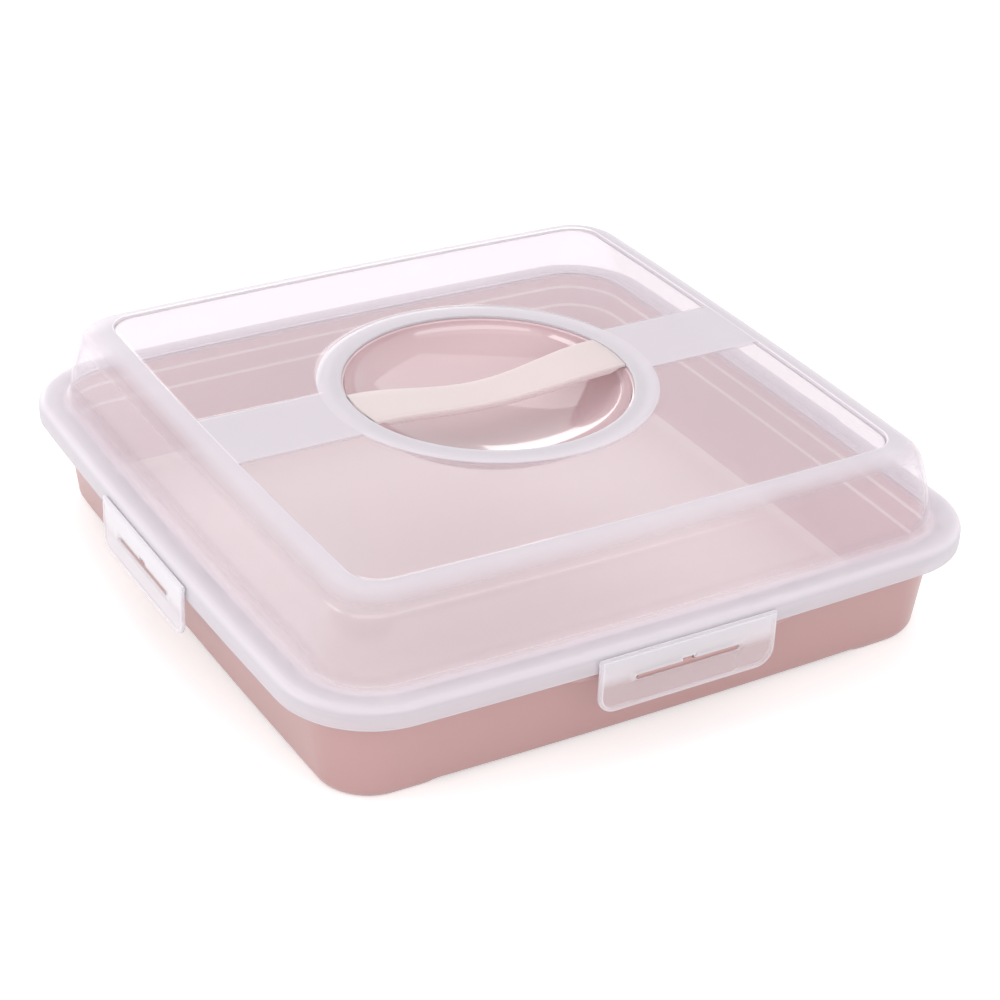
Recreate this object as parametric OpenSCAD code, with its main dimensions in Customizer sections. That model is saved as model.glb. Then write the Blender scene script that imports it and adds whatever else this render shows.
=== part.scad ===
// Square carrier for cakes and party food: a shallow tub, a see-through lid that lifts off,
// a bowl with a grip strap let into the lid, and four clips that swing on the lid's rim.
// X runs along the front edge, Y to the back, Z up. The origin is under the middle, where it stands.

/* [Whole carrier] */
// Width of the lid's rim at the middle of its sides
rim_w = 360; // [330:1:400]
// How far the middle of each side bows out, in plan
bow = 2; // [0.5:0.1:4]
// Corner radius of the lid's rim
rim_r = 45; // [40:1:55]

/* [Base tub] */
// Height of the tub's rim above the table
base_h = 57.9; // [50:0.1:75]
// Thickness of the tub's walls
base_wall = 2; // [1.5:0.1:3]
// Height of the corner feet under the floor
foot_h = 1.5; // [1:0.1:4]
// Width of the pad that each foot stands on
foot_w = 9; // [5:1:16]
// Length of each foot along a side, from the corner arc
foot_len = 16; // [8:1:30]
// How far the tub's walls lie inside the edge of the lid's rim, where they meet the floor
base_foot_in = 22; // [18:0.5:30]
// How far they lie inside it just under the flange
base_top_in = 11; // [9:0.5:15]
// Corner radius of the tub at the floor
base_foot_r = 24; // [20:1:34]
// Corner radius of the tub under the flange
base_top_r = 35; // [32:1:40]
// Height of the rounded edge between floor and wall
base_round_h = 6; // [3:0.5:10]
// How far the rounded edge runs out
base_round_w = 3.5; // [2:0.5:6]
// Radius of the fillet inside, between floor and wall
floor_r = 9; // [5:1:14]
// Height of the lower stacking ledge inside
ledge_low_z = 40.5; // [30:0.5:42]
// Height of the upper stacking ledge inside
ledge_high_z = 50.5; // [46:0.5:52]
// How far each ledge steps in
ledge_step = 1; // [0.4:0.1:1.6]
// Thickness of the rim flange
flange_t = 2; // [1.5:0.1:3]
// Height of the lip that turns down from the flange
lip_h = 7; // [5:0.5:10]
// Thickness of that lip
lip_t = 1.8; // [1.2:0.1:2.5]
// How much lower the lip reaches behind each clip
apron_h = 6; // [3:0.5:7]
// Width over which it is at its lowest
apron_w = 100; // [80:1:120]
// Length of the slope at each end of it
apron_ramp = 22; // [10:1:40]

/* [Lid] */
// Height of the lid's top above the table
lid_top_z = 98.5; // [90:0.5:120]
// Thickness of the lid
lid_wall = 1.6; // [1.2:0.1:2.2]
// How far the flat top lies inside the rim's edge
deck_in = 37; // [34:0.5:50]
// Corner radius of the flat top
deck_r = 14.5; // [10:0.5:24]
// Width of the sloping border round the flat top
border_w = 14.5; // [10:0.5:18]
// How far that border falls
border_drop = 5.8; // [3:0.1:9]
// Corner radius at the border's outer edge
border_r = 25; // [20:1:34]
// How far the foot of the lid's walls lies inside the rim's edge
lid_foot_in = 16; // [13:0.5:18]
// How far the lid's walls bulge
lid_bulge = 1.2; // [0:0.1:3]
// Height of the rim's skirt
skirt_h = 11; // [8:0.5:13]
// Radius on the rim's outer edge
rim_round = 3.2; // [2.5:0.1:4.5]
// How far the skirt's lower edge flares out
skirt_flare = 0.3; // [0:0.1:0.5]
// Clearance between the lid's skirt and the tub's lip
skirt_gap = 0.8; // [0.4:0.1:1.2]
// Depth of the two clear windows in the top
window_t = 0.5; // [0.2:0.1:0.8]
// Width of the frosted band across the top
band_w = 45; // [36:1:60]
// Outer radius of the frosted ring
ring_r = 83; // [78:1:95]

/* [Handle] */
// Radius of the hole in the lid that the bowl shows through
hole_r = 71; // [60:1:74]
// Depth of the bowl under the lid's top
bowl_depth = 26; // [20:1:34]
// Thickness of the bowl
bowl_wall = 1.8; // [1.4:0.1:2.4]
// Width of the bowl's flange under the ring
bowl_flange_w = 8.5; // [7:0.5:10]
// Thickness of that flange
bowl_flange_t = 2.6; // [2.2:0.1:3.4]
// Width of the grip strap at its ends
strap_w = 31.5; // [26:0.5:38]
// Width of the grip strap in the middle
strap_waist = 24.5; // [20:0.5:30]
// Thickness of the strap
strap_t = 2.2; // [1.6:0.1:3]
// Depth of the strap's turned-down edges
strap_edge = 4.5; // [3:0.5:7]
// How far the strap dips in the middle
strap_dip = 6; // [2:0.5:8]
// Width of the tab at each end of the strap
tab_w = 24; // [16:1:26]
// Thickness of each tab
tab_t = 1.2; // [0.8:0.1:1.6]
// Length of each tab under the ring
tab_len = 5; // [3:0.5:6]
// Clearance round the tabs and the strap's ends
tab_gap = 0.3; // [0.2:0.1:0.5]

/* [Clips] */
// Width of each clip
clip_w = 93; // [70:1:94]
// Height of each clip, from hinge to lower edge
clip_h = 27; // [24:0.5:32]
// Thickness of each clip
clip_t = 1.4; // [1.2:0.1:2]
// Radius of the clip's lower corners
clip_r = 9; // [5:0.5:12]
// Radius of the hinge roll along its upper edge
roll_r = 1; // [0.8:0.1:1.3]
// Depth of the hinge under the top of the rim
hinge_drop = 4.2; // [3.5:0.1:5.5]
// Clearance between the hinge roll and the rim
hinge_gap = 0.3; // [0.2:0.1:0.5]
// Width of the bead round the clip's edge
bead_w = 1.6; // [1:0.1:2.5]
// Height of that bead
bead_t = 0.5; // [0.3:0.1:0.8]
// Length of the slot that the catch sits in
slot_w = 55; // [40:1:60]
// Height of the slot
slot_h = 2.4; // [2:0.1:3.5]
// Height of the slot's upper edge under the hinge
slot_drop = 11.5; // [10.5:0.5:13]
// Width of the notch in the middle of the slot
notch_w = 8; // [5:0.5:12]
// Height of that notch above the slot
notch_h = 2.8; // [2:0.1:3.5]
// How far the catch stands into the slot
catch_in = 0.5; // [0.2:0.1:0.6]
// Clearance round the catch
catch_gap = 0.3; // [0.2:0.1:0.5]

/* [Hidden] */

// Smoothness of the lofted shells
corner_steps = 12;
round_steps = 4;
$fn = 72;

// Heights
rim_top_z = base_h + lid_wall;
floor_z = foot_h + base_wall;
skirt_z = rim_top_z - skirt_h;
deck_low_z = lid_top_z - lid_wall;
hinge_z = rim_top_z - hinge_drop;
slot_top_z = hinge_z - slot_drop;
lip_z = base_h - lip_h;

// Half widths and places, measured from the middle
rim_a = rim_w / 2;
skirt_in_a = rim_a - lid_wall;
lip_a = skirt_in_a - skirt_gap;
base_foot_a = rim_a - base_foot_in;
base_top_a = rim_a - base_top_in;
deck_a = rim_a - deck_in;
border_a = deck_a + border_w;
lid_foot_a = rim_a - lid_foot_in;
lid_foot_r = rim_r - lid_foot_in;
hinge_a = rim_a + hinge_gap + roll_r;
clip_in_a = hinge_a - clip_t / 2;
catch_a = clip_in_a + catch_in;
lip_r = rim_r - (rim_a - lip_a);
foot_in_a = base_foot_a - foot_w;
foot_in_r = base_foot_r - foot_w;
// Half side of the square that the base's corner arcs are centred on
core = base_foot_a - base_foot_r - bow;
// The catch and its nose have looser room at their ends, for the slot's round ends
catch_w = slot_w - 2 * catch_gap - 2;
nose_w = notch_w - 2 * catch_gap - 1;

// Places along a side where the shape changes, as shares of the straight stretch
apron_in = apron_w / 2 / core;
apron_out = (apron_w / 2 + apron_ramp) / core;
foot_in = 1 - foot_len / core;
foot_ramp = 0.04;
side_stops = [-1, -foot_in, -foot_in + foot_ramp, -apron_out, -apron_in, 0,
              apron_in, apron_out, foot_in - foot_ramp, foot_in];

// One closed ring of points: a square of half width a with bowed sides and corners of radius r.
// lip and foot say how far the ring dips behind the clips and at the corner feet.
function ring(a, r, z, lip = 0, foot = 0) =
  let (c = a - r - bow, arc = (c * c + bow * bow) / (2 * bow), turn = asin(c / arc))
  [for (q = [0 : 3])
    each concat(
      [for (s = side_stops)
        let (t = asin(s * c / arc))
        spot(a - r - arc + (arc + r) * cos(t), (arc + r) * sin(t), q,
             z - lip * lip_share(s) - foot * foot_share(s))],
      [for (i = [0 : corner_steps - 1])
        let (t = turn + (90 - 2 * turn) * i / corner_steps)
        spot(c + r * cos(t), c + r * sin(t), q, z - foot)])];
function spot(x, y, q, z) = [x * cos(90 * q) - y * sin(90 * q), x * sin(90 * q) + y * cos(90 * q), z];
function lip_share(s) = abs(s) <= apron_in + 0.001 ? 1 : 0;
function foot_share(s) = abs(s) >= foot_in - 0.001 ? 1 : 0;

// Quarter round in steps, from direction a0 to a1, as [out, up] offsets from its centre
function quarter(radius, a0, a1, steps = round_steps) =
  [for (i = [0 : steps]) let (t = a0 + (a1 - a0) * i / steps) radius * [cos(t), sin(t)]];

// Solid skin through a list of anticlockwise rings, closed flat at both ends. The rings come in the
// order that goes down the outside.
module loft(rings) {
  count = len(rings[0]);
  last = (len(rings) - 1) * count;
  sides = [for (k = [0 : len(rings) - 2]) for (i = [0 : count - 1])
    let (j = (i + 1) % count, b = k * count)
    each [[b + i, b + j, b + count + i], [b + j, b + count + j, b + count + i]]];
  ends = [[for (i = [count - 1 : -1 : 0]) i], [for (i = [0 : count - 1]) last + i]];
  polyhedron(points = [for (g = rings) each g], faces = concat(ends, sides), convexity = 8);
}

// Outer face of the tub's wall, as half width and corner radius at a height
function tub_wall_a(z) = base_foot_a + base_round_w
  + (base_top_a - base_foot_a - base_round_w) * (z - base_round_h) / (base_h - base_round_h);
function tub_wall_r(z) = base_foot_r
  + (base_top_r - base_foot_r) * (z - base_round_h) / (base_h - base_round_h);
function tub_ring(z, shift = 0) = ring(tub_wall_a(z) + shift, tub_wall_r(z) + shift, z);

// The skin runs from the floor inside, up the wall, out over the flange, and down to the feet
module base_shell() {
  fillet_z = floor_z + floor_r;
  fillet_in = -base_wall - 2 * ledge_step - floor_r;
  inside = [
    for (p = quarter(floor_r, -90, 0))
      ring(tub_wall_a(fillet_z) + fillet_in + p.x, tub_wall_r(fillet_z) + fillet_in + p.x, fillet_z + p.y),
    tub_ring(ledge_low_z, -base_wall - 2 * ledge_step),
    tub_ring(ledge_low_z + ledge_step, -base_wall - ledge_step),
    tub_ring(ledge_high_z, -base_wall - ledge_step),
    tub_ring(ledge_high_z + ledge_step, -base_wall)];
  mouth_r = flange_t * 0.6;
  mouth = [for (p = quarter(mouth_r, 180, 90))
    ring(tub_wall_a(base_h) - base_wall + mouth_r + p.x,
         tub_wall_r(base_h) - base_wall + mouth_r + p.x, base_h - mouth_r + p.y)];
  edge_r = flange_t * 0.75;
  flange_low = base_h - flange_t;
  lip = [
    for (p = quarter(edge_r, 90, 0))
      ring(lip_a - edge_r + p.x, lip_r - edge_r + p.x, base_h - edge_r + p.y),
    ring(lip_a, lip_r, lip_z, lip = apron_h),
    ring(lip_a - lip_t, lip_r - lip_t, lip_z, lip = apron_h),
    ring(lip_a - lip_t, lip_r - lip_t, flange_low)];
  outside = [
    tub_ring(flange_low),
    tub_ring(base_h / 2),
    tub_ring(base_round_h),
    for (p = [[0.85, 0.75, 0], [0.55, 0.5, 0.5]])
      ring(base_foot_a + base_round_w * p[0], base_foot_r, base_round_h * p[1], foot = foot_h * p[2]),
    ring(base_foot_a, base_foot_r, foot_h, foot = foot_h),
    ring(foot_in_a, foot_in_r, foot_h, foot = foot_h),
    ring(foot_in_a - foot_h, foot_in_r - foot_h, foot_h)];
  loft(concat(inside, mouth, lip, outside));
}

// The catch that a clip snaps over: a shelf on the lip's apron, with a nose in its middle
module catch_lug() {
  shelf_z = slot_top_z - catch_gap;
  low_z = slot_top_z - slot_h + catch_gap;
  lug_in_a = lip_a - lip_t;
  translate([0, -lug_in_a, 0]) {
    rotate([90, 0, 0]) linear_extrude(catch_a - lug_in_a) {
      translate([-catch_w / 2, low_z]) square([catch_w, shelf_z - low_z]);
      translate([-nose_w / 2, low_z]) square([nose_w, shelf_z + notch_h - catch_gap - low_z]);
    }
  }
}

module base_tub() {
  color("RosyBrown") union() {
    base_shell();
    for (q = [0 : 3]) rotate([0, 0, 90 * q]) catch_lug();
  }
}

// Height of the lid's border, falling away from the flat top, at a share s of its width
function border_ring(s, shift = 0) =
  ring(deck_a + border_w * s + shift, deck_r + (border_r - deck_r) * s + shift * 0.8,
       lid_top_z - border_drop * pow(s, 1.5) + shift);
// Lid wall, from the border's edge at s = 0 to the foot at s = 1
function lid_wall_ring(s, shift = 0) =
  ring(border_a + (lid_foot_a - border_a) * s + 4 * lid_bulge * s * (1 - s) + shift,
       border_r + (lid_foot_r - border_r) * s + shift,
       lid_top_z - border_drop - (lid_top_z - border_drop - rim_top_z) * s);

module lid_dome() {
  step_z = base_h;
  outside = concat(
    [for (s = [0, 0.2, 0.45, 0.7, 0.95]) border_ring(s)],
    [for (s = [0.05, 0.2, 0.5, 0.8, 0.96]) lid_wall_ring(s)],
    [ring(lid_foot_a + 2, lid_foot_r + 2, rim_top_z)],
    [for (p = quarter(rim_round, 90, 0))
      ring(rim_a - rim_round + p.x, rim_r - rim_round + p.x, rim_top_z - rim_round + p.y)],
    [ring(rim_a - skirt_flare, rim_r - skirt_flare, skirt_z + 1.5), ring(rim_a, rim_r, skirt_z)]);
  inside = concat(
    [ring(skirt_in_a, rim_r - lid_wall, skirt_z)],
    [for (p = quarter(rim_round - lid_wall, 0, 90))
      ring(rim_a - rim_round + p.x, rim_r - rim_round + p.x, rim_top_z - rim_round + p.y)],
    [ring(lid_foot_a - lid_wall + 1.2, lid_foot_r - lid_wall + 1.2, step_z)],
    [for (s = [0.95, 0.8, 0.5, 0.2]) lid_wall_ring(s, -lid_wall)],
    [for (s = [0.9, 0.7, 0.45, 0.2, 0]) border_ring(s, -lid_wall)]);
  loft(concat(outside, inside));
}

// Outline of the two clear windows, front and back, that lie a little lower than the frosted frame
module window_shape() {
  difference() {
    polygon([for (p = ring(deck_a, deck_r, 0)) [p.x, p.y]]);
    circle(ring_r);
    square([rim_w, band_w], center = true);
  }
}

module lid_shell() {
  color("GhostWhite", 0.45) difference() {
    lid_dome();
    translate([0, 0, lid_top_z - window_t]) linear_extrude(window_t + 1) window_shape();
    translate([0, 0, deck_low_z - 1]) cylinder(r = hole_r, h = lid_wall + 2);
  }
}

// Bowl profile, from the lip to the middle, as [radius, height]
bowl_steps = 14;
bowl_top_r = hole_r - 1;
// How far the pockets reach in from the hole's edge, through the bowl's wall
pocket_in = 4;
function bowl_curve(r, z) = [for (i = [0 : bowl_steps])
  let (t = 90 * i / bowl_steps) [r * pow(cos(t), 0.75), deck_low_z - z * pow(sin(t), 1.1)]];

module handle_bowl() {
  flange_r = hole_r + bowl_flange_w;
  bowl_z = bowl_depth - lid_wall;
  flange_low = deck_low_z - bowl_flange_t;
  pocket_z = deck_low_z - tab_t - tab_gap;
  color("RosyBrown") difference() {
    rotate_extrude() polygon(concat(
      bowl_curve(bowl_top_r, bowl_z),
      outer_bowl(flange_low, bowl_z),
      [[flange_r, flange_low], [flange_r, deck_low_z]]));
    for (side = [0, 180]) rotate([0, 0, side])
      translate([hole_r - pocket_in, -tab_w / 2 - tab_gap, pocket_z])
        cube([pocket_in + tab_len, tab_w + 2 * tab_gap, bowl_flange_t]);
  }
}
// Underside of the bowl, from the middle out to where it meets the flange
function outer_bowl(flange_low, bowl_z) =
  let (under = bowl_curve(bowl_top_r + bowl_wall, bowl_z + bowl_wall))
  [for (i = [bowl_steps : -1 : 0]) if (under[i].y < flange_low) under[i]];

// Grip strap: a channel with turned-down edges, waisted in plan and dipped in the middle. Each value
// below takes s, the share of the way from the middle to an end.
strap_steps = 16;
strap_end_r = hole_r - tab_gap;
strap_end_t = lid_wall - tab_gap;
edge_share = 0.88;
end_share = 0.95;
function swing(s) = (1 - cos(180 * s)) / 2;
function strap_half(s) = (strap_waist + (strap_w - strap_waist) * swing(s)) / 2;
function strap_z(s) = lid_top_z - strap_dip * (1 - swing(s));
// Depth of the turned-down edges, which run out before the bowl's wall
function edge_depth(s) = s <= edge_share ? strap_edge
  : strap_edge + (strap_end_t - strap_edge) * min(1, (s - edge_share) / (end_share - edge_share));
function strap_shares(reach) = [for (i = [-strap_steps : strap_steps]) reach * i / strap_steps];
function back_to_front(list) = [for (i = [len(list) - 1 : -1 : 0]) list[i]];

module strap_plan(inset = 0) {
  far = [for (s = strap_shares(1)) [s * strap_end_r, strap_half(abs(s)) - inset]];
  near = [for (p = back_to_front(far)) [p.x, -p.y]];
  intersection() {
    polygon(concat(far, near));
    circle(strap_end_r);
  }
}
// Slab between two heights along the strap, seen from the side
module strap_side(top, low) {
  rotate([90, 0, 0]) linear_extrude(2 * strap_w, center = true) polygon(concat(top, back_to_front(low)));
}
module strap_body() {
  depth_stops = concat([-1, -end_share, -edge_share], strap_shares(edge_share), [edge_share, end_share, 1]);
  edge_t = strap_t * edge_t_share;
  difference() {
    intersection() {
      linear_extrude(lid_top_z + 1) strap_plan();
      strap_side([for (s = strap_shares(1)) [s * strap_end_r, strap_z(abs(s))]],
                 [for (s = depth_stops) [s * strap_end_r, strap_z(abs(s)) - edge_depth(abs(s))]]);
    }
    intersection() {
      linear_extrude(lid_top_z + 1) strap_plan(edge_t);
      strap_side([for (s = strap_shares(hollow_share)) [s * strap_end_r, strap_z(abs(s)) - strap_t]],
                 [for (s = [-hollow_share, hollow_share]) [s * strap_end_r, deck_low_z - bowl_depth]]);
    }
  }
}
// Thickness of the turned-down edges, as a share of the strap's, and how far the hollow between runs
edge_t_share = 0.8;
hollow_share = 0.84;

module handle_strap() {
  color("MistyRose") union() {
    strap_body();
    for (side = [0, 180]) rotate([0, 0, side]) strap_tab();
  }
}
// Tab in the bowl's pocket under the ring, with the riser that carries it
module strap_tab() {
  tab_z = deck_low_z - tab_t - tab_gap;
  root = strap_end_r - tab_root;
  translate([root, -tab_w / 2, tab_z]) cube([tab_root + tab_len, tab_w, tab_t]);
  intersection() {
    translate([root, -tab_w / 2, tab_z]) cube([tab_root, tab_w, lid_top_z - strap_end_t / 2 - tab_z]);
    cylinder(r = strap_end_r - tab_gap, h = lid_top_z);
  }
}
// How far inside the strap's end the riser begins
tab_root = 6;

// Outline of a clip, seen from outside, with the hinge line along the top
module clip_outline(inset = 0) {
  w = clip_w - 2 * inset;
  r = clip_r - inset;
  h = clip_h - inset;
  translate([-w / 2, -h + r]) square([w, h - r]);
  translate([-w / 2 + r, -h]) square([w - 2 * r, r]);
  for (x = [-1, 1]) translate([x * (w / 2 - r), -h + r]) circle(r);
}
module slot_outline() {
  translate([-slot_w / 2 + slot_h / 2, -slot_drop - slot_h]) square([slot_w - slot_h, slot_h]);
  for (x = [-1, 1]) translate([x * (slot_w - slot_h) / 2, -slot_drop - slot_h / 2]) circle(slot_h / 2);
  translate([-notch_w / 2, -slot_drop - slot_h / 2]) square([notch_w, notch_h + slot_h / 2]);
}
module clip() {
  relief = catch_in + catch_gap;
  translate([0, -hinge_a, hinge_z]) {
    rotate([0, 90, 0]) cylinder(r = roll_r, h = clip_w, center = true);
    rotate([90, 0, 0]) difference() {
      union() {
        translate([0, 0, -clip_t / 2]) linear_extrude(clip_t) clip_outline();
        translate([0, 0, -clip_t / 2]) linear_extrude(clip_t + bead_t) difference() {
          clip_outline();
          clip_outline(bead_w);
          translate([-clip_w / 2, -bead_w]) square([clip_w, bead_w * 2]);
        }
        translate([-slot_w / 2 - 2, -clip_h + bead_w / 2, -clip_t / 2])
          cube([slot_w + 4, clip_h - slot_drop - slot_h - bead_w / 2, clip_t + bead_t]);
      }
      translate([0, 0, -clip_t]) linear_extrude(3 * clip_t) slot_outline();
      translate([-slot_w / 2, -clip_h - 1, -clip_t / 2 - 1])
        cube([slot_w, clip_h + 1 - slot_drop - slot_h / 2, relief + 1]);
    }
  }
}
module clip_front() { color("Lavender", 0.7) clip(); }
module clip_left() { color("Lavender", 0.7) rotate([0, 0, -90]) clip(); }
module clip_back() { color("Lavender", 0.7) rotate([0, 0, 180]) clip(); }
module clip_right() { color("Lavender", 0.7) rotate([0, 0, 90]) clip(); }

base_tub();
lid_shell();
handle_bowl();
handle_strap();
clip_front();
clip_left();
clip_back();
clip_right();
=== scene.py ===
# %% [markdown]
# # A square cake carrier in translucent and pink plastic
# The carrier's pieces, joints and sizes come from a finished construction model, the frame. This
# script gives that frame its looks: thin moulded walls, frosted and clear plastic, and soft studio
# light. Everything is in metres in the frame's own axes: X along the front, Y to the back, Z up.

# %% Open the frame
import math

import bpy
import numpy as np
from mathutils import Matrix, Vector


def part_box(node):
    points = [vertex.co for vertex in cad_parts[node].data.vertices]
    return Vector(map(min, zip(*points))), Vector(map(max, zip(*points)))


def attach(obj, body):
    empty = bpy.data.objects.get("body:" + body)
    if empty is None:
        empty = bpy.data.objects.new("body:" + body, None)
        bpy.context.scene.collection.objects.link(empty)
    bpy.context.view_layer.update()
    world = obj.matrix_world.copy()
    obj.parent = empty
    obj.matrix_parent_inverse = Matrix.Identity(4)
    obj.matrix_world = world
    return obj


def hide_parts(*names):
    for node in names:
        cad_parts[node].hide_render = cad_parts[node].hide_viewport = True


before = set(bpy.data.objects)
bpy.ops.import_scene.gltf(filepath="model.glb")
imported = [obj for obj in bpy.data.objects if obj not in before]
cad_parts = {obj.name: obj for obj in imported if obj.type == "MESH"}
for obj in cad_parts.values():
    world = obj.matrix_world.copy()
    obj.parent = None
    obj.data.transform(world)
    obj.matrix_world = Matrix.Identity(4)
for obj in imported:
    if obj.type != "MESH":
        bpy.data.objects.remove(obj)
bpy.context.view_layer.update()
MM = 0.001

# %% [markdown]
# ## Sizes
# The main sizes are read from the frame's own pieces, so that the looks sit exactly where the
# construction is. What the frame's boxes don't give, such as wall thicknesses, is named here, in
# millimetres. Working in millimetres keeps the numbers easy to compare with a ruler.

# %% Main sizes, in millimetres
def box_mm(node):
    """Lowest and highest corner of a construction piece, in millimetres."""
    low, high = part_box(node)
    return np.array(low) / MM, np.array(high) / MM


lid_low, lid_high = box_mm("lid_shell")
tub_high = box_mm("base_tub")[1]
bowl_low, bowl_high = box_mm("handle_bowl")
clip_low, clip_high = box_mm("clip_front")

BOW = 2.0            # how far the middle of each side bows out
RIM_HALF = lid_high[0]
RIM_CORNER = 45.0    # corner radius of the rim
SKIRT_Z = lid_low[2] # lower edge of the lid's skirt
DECK_Z = lid_high[2]
TUB_TOP_Z = tub_high[2]
LID_WALL = 1.6
RIM_Z = TUB_TOP_Z + LID_WALL
print("rim half width", RIM_HALF, "deck height", DECK_Z, "rim height", RIM_Z)

# %% [markdown]
# ## Bowed squares as rings
# Seen from above, every edge of this carrier is the same kind of figure: a square whose sides bow
# out by 2 mm and whose corners are arcs. A subdivided cube would only come near it. Here the figure
# is a formula, so the wall, the rim and the lid can each be a stack of such rings, one per height.
# All rings share their columns, and a column runs down the wall from the top to the foot.

# %% Columns round the carrier
BAND_HALF = 22.5     # half the width of the frosted band across the lid
STEP = 0.25          # half the width of the step at a window's edge
RING_OUT = 83.0      # outer radius of the frosted ring
HOLE_R = 71.0
DECK_HALF = RIM_HALF - 37
DECK_CORNER = 14.5
TURN_STEPS = 22      # columns in each corner
SIDE_STOPS = 61      # points along each side, before those at the band's edges are added

deck_straight = DECK_HALF - DECK_CORNER - BOW
band_shares = [sign * (BAND_HALF + step) / deck_straight for sign in (-1, 1) for step in (-STEP, STEP)]
side_shares = np.unique(np.concatenate([np.linspace(-1, 1, SIDE_STOPS), band_shares]))[:-1]


def rings(half, corner):
    """Points of bowed squares, as an array (rings, columns, 2).

    half is the distance from the middle to the middle of a side, and corner the corner's radius,
    one of each for every ring. A side is an arc through three points: both ends of the straight
    stretch, at c = half - corner - bow, and the middle, which lies bow further out. Its radius is
    R = (c^2 + bow^2) / (2 bow), moved out by the corner's radius. The corner's arc starts where the
    side's arc ends, at the same slope, so the outline has no kink."""
    half, corner = np.atleast_1d(half)[:, None], np.atleast_1d(corner)[:, None]
    straight = half - corner - BOW
    arc = (straight ** 2 + BOW ** 2) / (2 * BOW)
    turn = np.arcsin(straight / arc)
    along = np.arcsin(side_shares[None, :] * straight / arc)
    side_x = half - corner - arc + (arc + corner) * np.cos(along)
    side_y = (arc + corner) * np.sin(along)
    sweep = turn + (math.pi / 2 - 2 * turn) * np.arange(TURN_STEPS)[None, :] / TURN_STEPS
    corner_x = straight + corner * np.cos(sweep)
    corner_y = straight + corner * np.sin(sweep)
    x = np.concatenate([side_x, corner_x], 1)
    y = np.concatenate([side_y, corner_y], 1)
    sides = [(x, y), (-y, x), (-x, -y), (y, -x)]
    return np.stack([np.concatenate([s[0] for s in sides], 1), np.concatenate([s[1] for s in sides], 1)], -1)


def raised(flat, z):
    """Rings (rings, columns, 2) lifted to heights z, one per ring or one per point."""
    z = np.asarray(z, float)
    z = z[:, None] if z.ndim == 1 else z
    return np.concatenate([flat, np.broadcast_to(z, flat.shape[:2])[..., None]], -1)


share_of_side = np.tile(np.concatenate([side_shares, np.ones(TURN_STEPS)]), 4)
print("columns round the carrier:", len(share_of_side))

# %% [markdown]
# ## From a grid of points to a mesh
# One function turns any grid into a mesh. Rows follow the profile and columns go round. The order of
# each face's corners makes it point outwards when the rows run down the outside. Where the profile
# ends in the middle, as on the tub's floor, one point closes it like the pole of a globe.

# %% Surfaces
def surface(name, rows, body, close_rows=False, poles=False, finish=None):
    """A mesh from an array of points (rows, columns, 3) in millimetres. Columns close on themselves.

    Face (i, j) joins points (i, j), (i+1, j), (i+1, j+1) and (i, j+1). finish gives an array
    (rows, columns) of numbers for each name, which the material reads as an attribute."""
    count, columns = rows.shape[:2]
    i = np.arange(count if close_rows else count - 1)[:, None]
    j = np.arange(columns)[None, :]
    here, right = i * columns + j, i * columns + (j + 1) % columns
    below = (i + 1) % count * columns
    faces = np.stack([here, below + j, below + (j + 1) % columns, right], -1).reshape(-1, 4).tolist()
    points = rows.reshape(-1, 3)
    if poles:
        first, last = np.arange(columns), (count - 1) * columns + np.arange(columns)
        top, bottom = len(points), len(points) + 1
        points = np.concatenate([points, [rows[0].mean(0), rows[-1].mean(0)]])
        faces += np.stack([np.full(columns, top), first, np.roll(first, -1)], -1).tolist()
        faces += np.stack([last, np.full(columns, bottom), np.roll(last, -1)], -1).tolist()
    mesh = bpy.data.meshes.new(name)
    mesh.from_pydata((points * MM).tolist(), [], faces)
    mesh.polygons.foreach_set("use_smooth", np.ones(len(faces), bool))
    for label, values in (finish or {}).items():
        layer = mesh.attributes.new(label, "FLOAT", "POINT")
        layer.data.foreach_set("value", np.asarray(values, np.float32).reshape(-1))
    mesh.update()
    piece = bpy.data.objects.new(name, mesh)
    bpy.context.scene.collection.objects.link(piece)
    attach(piece, body)
    print(f"{name}: {len(mesh.vertices)} points, {len(mesh.polygons)} faces")
    return piece


def quarter(radius, start, end, steps=6):
    """Offsets [out, up] on an arc, from direction start to end, in degrees."""
    angle = np.radians(np.linspace(start, end, steps + 1))
    return radius * np.stack([np.cos(angle), np.sin(angle)], -1)


def bend(start, corner, end, steps=6):
    """A soft corner: the curve (1-t)^2 start + 2t(1-t) corner + t^2 end, without its two ends."""
    t = np.linspace(0, 1, steps + 2)[1:-1, None]
    return (1 - t) ** 2 * np.array(start) + 2 * t * (1 - t) * np.array(corner) + t ** 2 * np.array(end)


def ease(t):
    """0 below 0, 1 above 1, and 3t^2 - 2t^3 between, so that both ends are level."""
    t = np.clip(t, 0, 1)
    return t * t * (3 - 2 * t)


# %% [markdown]
# ## The tub
# The real tub is one injection moulding: a floor, leaning walls with two small ledges inside for
# nesting, and a flange whose lip turns down. One closed skin gives all of it. The skin starts in the
# middle of the floor inside, climbs the wall, crosses the flange, and comes down outside to the
# corner feet. The lip hangs lower behind each clip, and the feet exist only at the corners, so these
# two heights depend on the column as well as on the row.

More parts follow.
